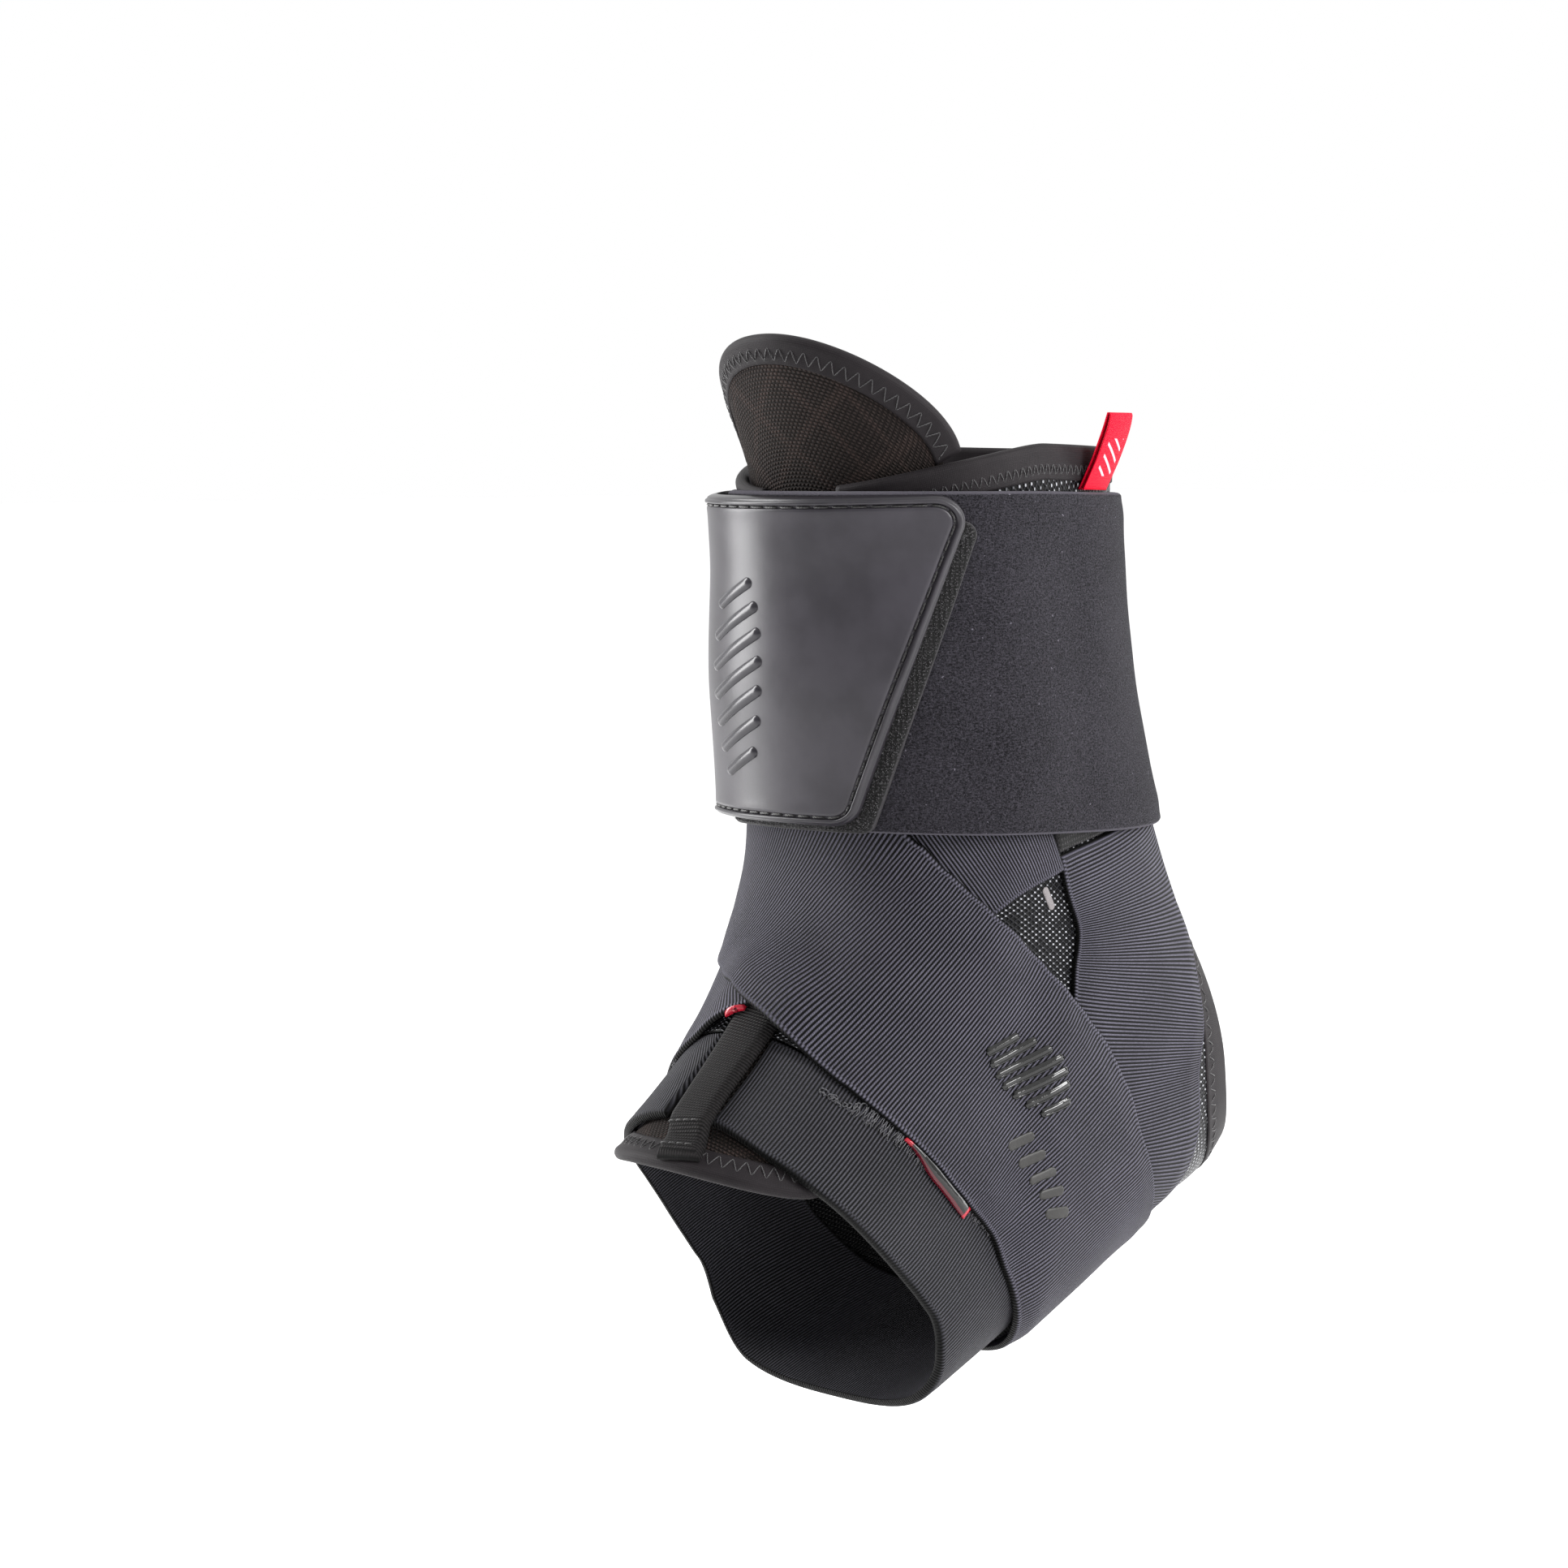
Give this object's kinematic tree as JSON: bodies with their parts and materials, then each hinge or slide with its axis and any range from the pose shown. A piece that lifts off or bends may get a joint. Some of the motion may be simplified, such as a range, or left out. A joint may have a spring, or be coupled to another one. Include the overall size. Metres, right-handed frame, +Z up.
{
  "type": "ankle brace",
  "caption": "Wrap-around ankle brace for a left foot, in worn form: padded tongue, mesh body with open heel, crossing elastic straps, leg cuff with moulded tab.",
  "frame": {"origin": "centre of the ankle, inside the brace, on the line of the leg", "axes": "+Z up along the leg, -Y towards the toes, +X to the outer side of a left foot"},
  "size_m": [0.084, 0.1611, 0.2303],
  "materials": {
    "tongue_knit": "matte padded knit, brownish black",
    "binding_tape": "smooth stretch tape with zigzag stitching, black",
    "mesh_cloth": "open mesh over a lining, black",
    "band_cloth": "ribbed elastic, black",
    "webbing": "ribbed webbing, black",
    "strap_elastic": "fine ribbed elastic, dark blue-grey",
    "hook_cloth": "fuzzy hook tape, black",
    "side_tag_tape": "glossy printed tape, maroon and black",
    "front_tag_tape": "woven tape, red",
    "loop_cloth": "brushed loop cloth, dark grey",
    "moulded_tab": "satin moulded, warm dark grey",
    "label_ribbon": "satin ribbon, red"
  },
  "bodies": {
    "root": {"tongue": "tongue_knit", "tongue_top_binding": "binding_tape", "tongue_toe_binding": "binding_tape", "body_shell": "mesh_cloth", "top_binding": "binding_tape", "heel_binding": "binding_tape", "midfoot_band": "band_cloth", "pull_tab": "webbing", "under_strap": "strap_elastic", "under_strap_end": "hook_cloth", "over_strap": "strap_elastic", "over_strap_end": "hook_cloth", "side_tag": "side_tag_tape", "front_tag": "front_tag_tape", "cuff_band": "loop_cloth", "hook_pad": "hook_cloth", "closure_tab": "moulded_tab", "rear_label": "label_ribbon"}
  },
  "joints": []
}
